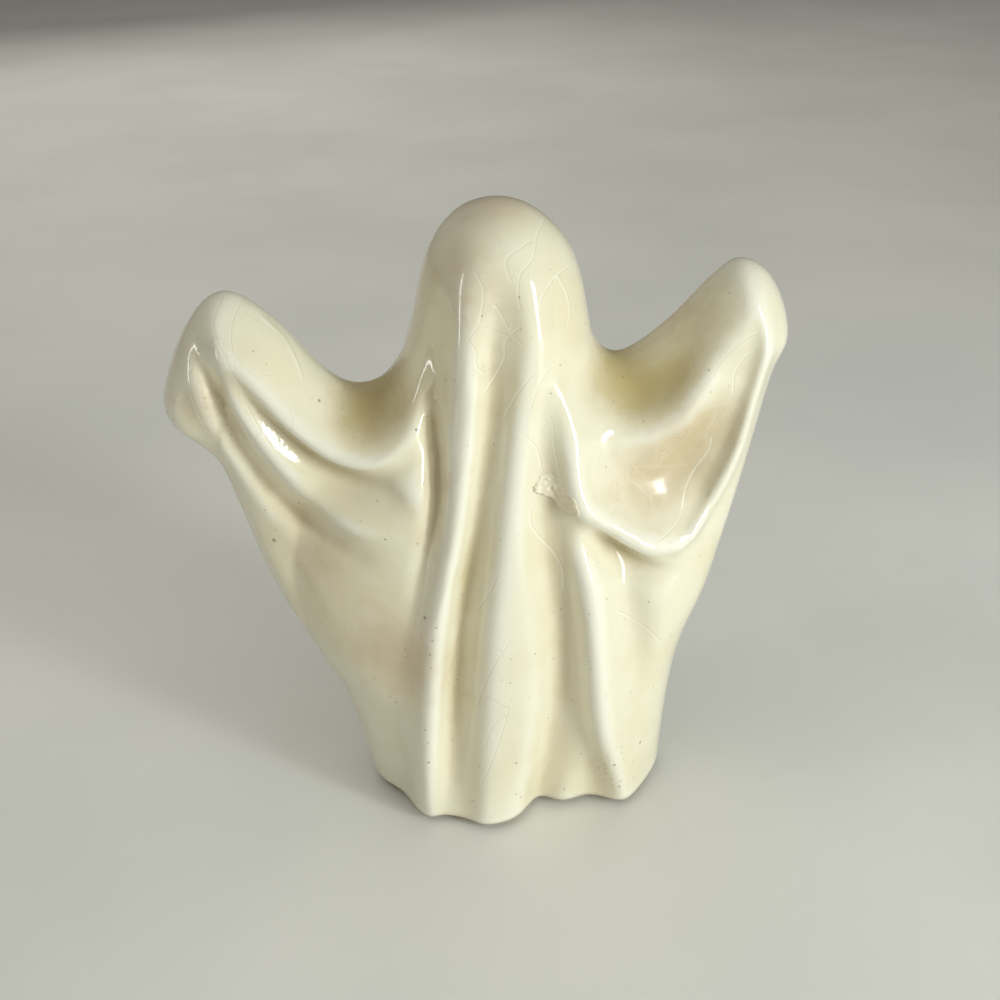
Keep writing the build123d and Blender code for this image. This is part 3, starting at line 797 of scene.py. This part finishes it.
def newGroup(name, inputs, outputs):
    tree = bpy.data.node_groups.new(name, "ShaderNodeTree")
    for label in inputs:
        kind = "NodeSocketVector" if label == "Place" else "NodeSocketFloat"
        tree.interface.new_socket(label, in_out="INPUT", socket_type=kind)
    for label in outputs:
        tree.interface.new_socket(label, in_out="OUTPUT", socket_type="NodeSocketFloat")
    return tree, tree.nodes.new("NodeGroupInput").outputs, tree.nodes.new("NodeGroupOutput").inputs


def placeGroup(tree, group, **inputs):
    made = tree.nodes.new("ShaderNodeGroup")
    made.node_tree = group
    fillInputs(tree, made, inputs)
    return made.outputs


# round specks: least radius, then where an edge starts and where it is full
speckShape = dict(least=0.25, edge=(1.0, 0.45))


def makeSpecks():
    # one speck in some of the cells, its radius a random share of Size
    tree, given, result = newGroup("specks", ("Place", "Cell", "Size", "Share"), ("Mask",))
    place = scaled(tree, given["Place"], calc(tree, "DIVIDE", 1.0, given["Cell"]))
    cells = addNode(tree, "TexVoronoi", {"Vector": place, "Scale": 1.0})
    luck = addNode(tree, "SeparateColor", {0: cells.outputs["Color"]}).outputs
    radius = calc(tree, "MULTIPLY", given["Size"], calc(tree, "ADD", luck[1], speckShape["least"]))
    radius = calc(tree, "DIVIDE", radius, given["Cell"])
    away = calc(tree, "DIVIDE", cells.outputs["Distance"], radius)
    kept = calc(tree, "LESS_THAN", luck[0], given["Share"])
    tree.links.new(calc(tree, "MULTIPLY", kept, ramp(tree, away, *speckShape["edge"])), result["Mask"])
    return tree


# scattered crazing
hairlineShape = dict(
    sway=0.9,              # warp of the cells, as a share of a cell
    swayScale=0.9,
    slow=(0.33, 1.0),      # scale and detail of the noise that makes the patches
    fade=(-0.03, 0.05),    # soft edge of a patch
    line=(1.0, 0.3),       # widths where a line and its pale sides start and where they are full
    halo=(3.4, 0.8),
)


def makeHairlines():
    # crazing: edges of warped cells, shown in patches where a slow noise is above Patch
    shape = hairlineShape
    tree, given, result = newGroup("hairlines", ("Place", "Cell", "Width", "Patch"), ("Line", "Halo"))
    place = scaled(tree, given["Place"], calc(tree, "DIVIDE", 1.0, given["Cell"]))
    noise = noiseAt(tree, place, shape["swayScale"]).outputs["Color"]
    sway = addNode(tree, "VectorMath", {0: noise, 1: (0.5, 0.5, 0.5)}, operation="SUBTRACT").outputs[0]
    sway = scaled(tree, sway, shape["sway"])
    warped = addNode(tree, "VectorMath", {0: place, 1: sway}, operation="ADD").outputs[0]
    cells = addNode(tree, "TexVoronoi", {"Vector": warped, "Scale": 1.0}, feature="DISTANCE_TO_EDGE")
    away = calc(tree, "MULTIPLY", cells.outputs["Distance"], given["Cell"])
    away = calc(tree, "DIVIDE", away, given["Width"])
    slow = noiseAt(tree, place, *shape["slow"]).outputs[0]
    patch = ramp(tree, calc(tree, "SUBTRACT", slow, given["Patch"]), *shape["fade"])
    tree.links.new(calc(tree, "MULTIPLY", patch, ramp(tree, away, *shape["line"])), result["Line"])
    tree.links.new(calc(tree, "MULTIPLY", patch, ramp(tree, away, *shape["halo"])), result["Halo"])
    return tree


# fired clay: scale, detail and roughness of the fine and the broad noise, then their shares in the tone
gritShape = dict(
    fine=(1.0, 4.0, 0.65), broad=(0.11, 3.0),
    fineShare=0.45, broadShare=0.55,
    tone=(0.32, 0.68),     # where the light tone starts and where it is full
)


def makeGrit():
    # fine and broad noise together, as a tone and as a height
    tree, given, result = newGroup("grit", ("Place", "Grain"), ("Tone", "Height"))
    place = scaled(tree, given["Place"], calc(tree, "DIVIDE", 1.0, given["Grain"]))
    fine = noiseAt(tree, place, *gritShape["fine"]).outputs[0]
    broad = noiseAt(tree, place, *gritShape["broad"]).outputs[0]
    tone = calc(tree, "MULTIPLY", broad, gritShape["broadShare"])
    tone = calc(tree, "MULTIPLY_ADD", fine, gritShape["fineShare"], tone)
    tree.links.new(ramp(tree, tone, *gritShape["tone"]), result["Tone"])
    tree.links.new(fine, result["Height"])
    return tree


specks, hairlines, grit = makeSpecks(), makeHairlines(), makeGrit()
print("shared effects made")


def newMaterial(name):
    material = bpy.data.materials.new(name)
    material.use_nodes = True
    tree = material.node_tree
    place = scaled(tree, addNode(tree, "TexCoord").outputs["Object"], 1 / mm)    # in millimetres
    return material, tree, tree.nodes["Principled BSDF"], place


def addBump(tree, shader, height, strength):
    # the height is in millimetres
    bump = addNode(tree, "Bump", {"Height": height, "Strength": strength, "Distance": mm})
    tree.links.new(bump.outputs[0], shader.inputs["Normal"])


def attributeOf(tree, name):
    return addNode(tree, "Attribute", attribute_name=name).outputs["Fac"]


def bandAt(tree, value, middle, outer, inner):
    # full within the inner distance of the middle, nothing beyond the outer one
    return ramp(tree, calc(tree, "ABSOLUTE", calc(tree, "SUBTRACT", value, middle)), outer, inner)


def stronger(tree, first, firstShare, second, secondShare):
    # the larger of two masks, each times its share
    first = calc(tree, "MULTIPLY", first, firstShare)
    return calc(tree, "MAXIMUM", first, calc(tree, "MULTIPLY", second, secondShare))


glazeLook = dict(
    ivory=(0.77, 0.73, 0.56, 1),
    mottle=(0.72, 0.66, 0.46, 1),        # clouds in the ivory
    ridgeThinAndLit=(0.83, 0.82, 0.71, 1),         # ridges: painted light, where the glaze is also thin
    # painted shade in the grooves, with glaze pooled there
    groovePoolAndShade=(0.60, 0.48, 0.30, 1),
    # painted shade on the left and in the sleeves
    paintedShade=(0.55, 0.43, 0.27, 1),
    # pooled glaze and painted shade in the hollows
    poolAndShade=(0.40, 0.31, 0.11, 1),
    thin=(0.56, 0.45, 0.29, 1),          # tan at the crown and near the foot
    halo=(0.84, 0.82, 0.68, 1),          # pale side of a crazing line
    line=(0.44, 0.36, 0.22, 1),          # its dark side
    pinhole=(0.23, 0.18, 0.12, 1),
    # tints: where each starts, where it is full, and its share before and after
    cloudRange=(0.42, 0.68, 0.0, 0.75),
    patchRange=(0.5, 0.75, 0.0, 0.25),
    ridgeThinAndLitRange=(-0.2, -1.2, 0.0, 0.7),
    groovePoolAndShadeRange=(0.2, 1.5, 0.0, 0.2),
    paintedShadeRange=(0.02, 1.0, 0.0, 0.7),
    poolAndShadeRange=(0.22, 1.35, 0.0, 0.85),
    crownRange=(107.5, 112.0, 0.0, 0.5),
    footRange=(2.6, 0.9, 0.0, 0.45),
    # noise: clouds, patches and the swell of the surface
    cloudScale=0.06, patchScale=0.35, swellScale=0.22,
    # relief: weight of the creases beside the hollows, then shares of relief and patches in the pooled
    # glaze and painted shade
    creaseWeight=1.6, poolAndShadeRelief=0.34, poolAndShadePatch=0.25, paintedShadePatch=0.5, crownPatch=3.0,
    # crazing: reach of a traced line, then the middle, outer and inner distance of its two sides
    reach=(0.75, 0.6), lineBand=(0.15, 0.12, 0.03), haloBand=(-0.05, 0.27, 0.08),
    haloShare=0.5, lineShare=0.28, webShare=0.14,
    web=dict(Cell=9.0, Width=0.13, Patch=0.56),
    # pinholes: small ones, large ones, and the crowd in the stain
    small=dict(Cell=1.5, Size=0.2, Share=0.4),
    large=dict(Cell=5.2, Size=0.42, Share=0.42),
    crowd=dict(Cell=1.05, Size=0.36, Share=0.75),
    smallShare=0.55, largeShare=0.75,
    stain=(23.4, -17.5, 8.4),            # middle of the stain
    stainRange=(10.0, 5.1),              # distances where it starts and where it is full
    stainPatch=5.0,
    # roughness, and what patches, blemishes, the pools with their painted shade and the painted-shade spots
    # add to it
    gloss=0.06, dullPatch=0.10, dullMark=0.3, dullPoolAndShade=0.3, dullPaintedShade=0.2,
    coat=0.3, coatGloss=0.03,
    # heights in millimetres
    dotDent=-0.08, lineDent=-0.03, swell=0.025, bump=0.8,
)


def makeGlazeLook():
    material, tree, shader, place = newMaterial("ivoryGlaze")
    look = glazeLook
    crease, hollow = attributeOf(tree, "crease"), attributeOf(tree, "hollow")
    slow = noiseAt(tree, place, look["cloudScale"], 3.0).outputs[0]
    mid = noiseAt(tree, place, look["patchScale"], 3.0).outputs[0]
    height = addNode(tree, "SeparateXYZ", {0: place}).outputs[2]
    # glaze runs off the ridges and pools in the hollows; the same relief also paints light on the ridges
    # and shade in the creases and hollows
    deep = calc(tree, "MULTIPLY_ADD", crease, look["creaseWeight"], hollow)
    poolAndShadeLevel = calc(tree, "MULTIPLY_ADD", mid, look["poolAndShadePatch"], attributeOf(tree, "poolAndShade"))
    poolAndShadeLevel = calc(tree, "MULTIPLY_ADD", deep, look["poolAndShadeRelief"], poolAndShadeLevel)
    pooledAndShaded = ramp(tree, poolAndShadeLevel, *look["poolAndShadeRange"])
    colour = tinted(tree, ramp(tree, slow, *look["cloudRange"]), look["ivory"], look["mottle"])
    colour = tinted(tree, ramp(tree, mid, *look["patchRange"]), colour, look["mottle"])
    # ridges painted lighter: painted light, where the glaze is also thinner
    colour = tinted(tree, ramp(tree, deep, *look["ridgeThinAndLitRange"]), colour, look["ridgeThinAndLit"])
    # grooves painted darker: painted shade, where glaze also pools
    colour = tinted(tree, ramp(tree, deep, *look["groovePoolAndShadeRange"]), colour, look["groovePoolAndShade"])
    # painted shade where the shade spots lie, broken into patches
    patchy = calc(tree, "SUBTRACT", attributeOf(tree, "paintedShade"), look["paintedShadePatch"] / 2)
    patchy = calc(tree, "MULTIPLY_ADD", mid, look["paintedShadePatch"], patchy)
    paintedShade = ramp(tree, patchy, *look["paintedShadeRange"])
    colour = tinted(tree, paintedShade, colour, look["paintedShade"])
    # pooled glaze and painted shade in the hollows above the arms
    colour = tinted(tree, pooledAndShaded, colour, look["poolAndShade"])
    # tan over the crown and near the foot
    crown = calc(tree, "MULTIPLY_ADD", mid, look["crownPatch"], height)
    colour = tinted(tree, ramp(tree, crown, *look["crownRange"]), colour, look["thin"])
    colour = tinted(tree, ramp(tree, height, *look["footRange"]), colour, look["thin"])
    # crazing, traced on the front and scattered elsewhere
    crack = attributeOf(tree, "crack")
    close = ramp(tree, attributeOf(tree, "crackNear"), *look["reach"])
    line = calc(tree, "MULTIPLY", close, bandAt(tree, crack, *look["lineBand"]))
    halo = calc(tree, "MULTIPLY", close, bandAt(tree, crack, *look["haloBand"]))
    web = placeGroup(tree, hairlines, Place=place, **look["web"])
    anyHalo = stronger(tree, halo, look["haloShare"], web["Halo"], look["webShare"])
    anyLine = stronger(tree, line, look["lineShare"], web["Line"], look["webShare"])
    colour = tinted(tree, anyHalo, colour, look["halo"])
    colour = tinted(tree, anyLine, colour, look["line"])
    # pinholes all over, and a stain of them on the right of the hem
    small, large, crowd = (placeGroup(tree, specks, Place=place, **look[kind])["Mask"]
                           for kind in ("small", "large", "crowd"))
    apart = addNode(tree, "VectorMath", {0: place, 1: look["stain"]}, operation="DISTANCE").outputs["Value"]
    apart = calc(tree, "MULTIPLY_ADD", mid, look["stainPatch"], apart)
    crowd = calc(tree, "MULTIPLY", crowd, ramp(tree, apart, *look["stainRange"]))
    large = calc(tree, "MAXIMUM", large, crowd)
    dots = stronger(tree, small, look["smallShare"], large, look["largeShare"])
    colour = tinted(tree, dots, colour, look["pinhole"])
    tree.links.new(colour, shader.inputs["Base Color"])
    # the gloss is duller in patches, at blemishes, in pools and under the painted shade
    dull = calc(tree, "MULTIPLY_ADD", mid, look["dullPatch"], look["gloss"])
    dull = calc(tree, "MULTIPLY_ADD", calc(tree, "MAXIMUM", dots, anyLine), look["dullMark"], dull)
    dull = calc(tree, "MULTIPLY_ADD", paintedShade, look["dullPaintedShade"], dull)
    dull = calc(tree, "MULTIPLY_ADD", pooledAndShaded, look["dullPoolAndShade"], dull)
    tree.links.new(dull, shader.inputs["Roughness"])
    shader.inputs["Coat Weight"].default_value = look["coat"]
    shader.inputs["Coat Roughness"].default_value = look["coatGloss"]
    # pinholes and crazing are dents in a slow swell
    dents = calc(tree, "MULTIPLY", anyLine, look["lineDent"])
    dents = calc(tree, "MULTIPLY_ADD", dots, look["dotDent"], dents)
    swell = noiseAt(tree, place, look["swellScale"], 1.0).outputs[0]
    addBump(tree, shader, calc(tree, "MULTIPLY_ADD", swell, look["swell"], dents), look["bump"])
    return material


# bare clay: specks, their share of colour and depth, what the grit adds to the roughness
claySurface = dict(dots=dict(Cell=1.3, Size=0.26), dotShare=0.7, dotDent=-0.06, roughGrit=0.25, bump=0.8)
clayLook = dict(
    light=(0.70, 0.58, 0.41, 1),
    dark=(0.50, 0.38, 0.24, 1),
    speck=(0.20, 0.14, 0.09, 1),
    grain=0.35,            # size of the grit
    dent=0.10,             # its height
    rough=0.68,
    specks=0.25,           # share of the cells that hold a speck
)
scarLook = dict(
    light=(0.80, 0.76, 0.60, 1),
    dark=(0.72, 0.64, 0.46, 1),
    speck=(0.34, 0.26, 0.17, 1),
    grain=0.9,
    dent=0.26,
    rough=0.34,
    specks=0.10,
)


def makeClayLook(name, look):
    material, tree, shader, place = newMaterial(name)
    grain = placeGroup(tree, grit, Place=place, Grain=look["grain"])
    surface = claySurface
    dots = placeGroup(tree, specks, Place=place, Share=look["specks"], **surface["dots"])["Mask"]
    colour = tinted(tree, grain["Tone"], look["dark"], look["light"])
    colour = tinted(tree, calc(tree, "MULTIPLY", dots, surface["dotShare"]), colour, look["speck"])
    tree.links.new(colour, shader.inputs["Base Color"])
    rough = calc(tree, "MULTIPLY_ADD", grain["Height"], surface["roughGrit"], look["rough"])
    tree.links.new(rough, shader.inputs["Roughness"])
    height = calc(tree, "MULTIPLY", grain["Height"], look["dent"])
    height = calc(tree, "MULTIPLY_ADD", dots, surface["dotDent"], height)
    addBump(tree, shader, height, surface["bump"])
    return material


glazeSkin.data.materials.append(makeGlazeLook())
bareClay = makeClayLook("bareClay", clayLook)
for piece in (clayFront, clayBack):
    piece.data.materials.append(bareClay)
clayScar.data.materials.append(makeClayLook("scarClay", scarLook))
print("finishes made")
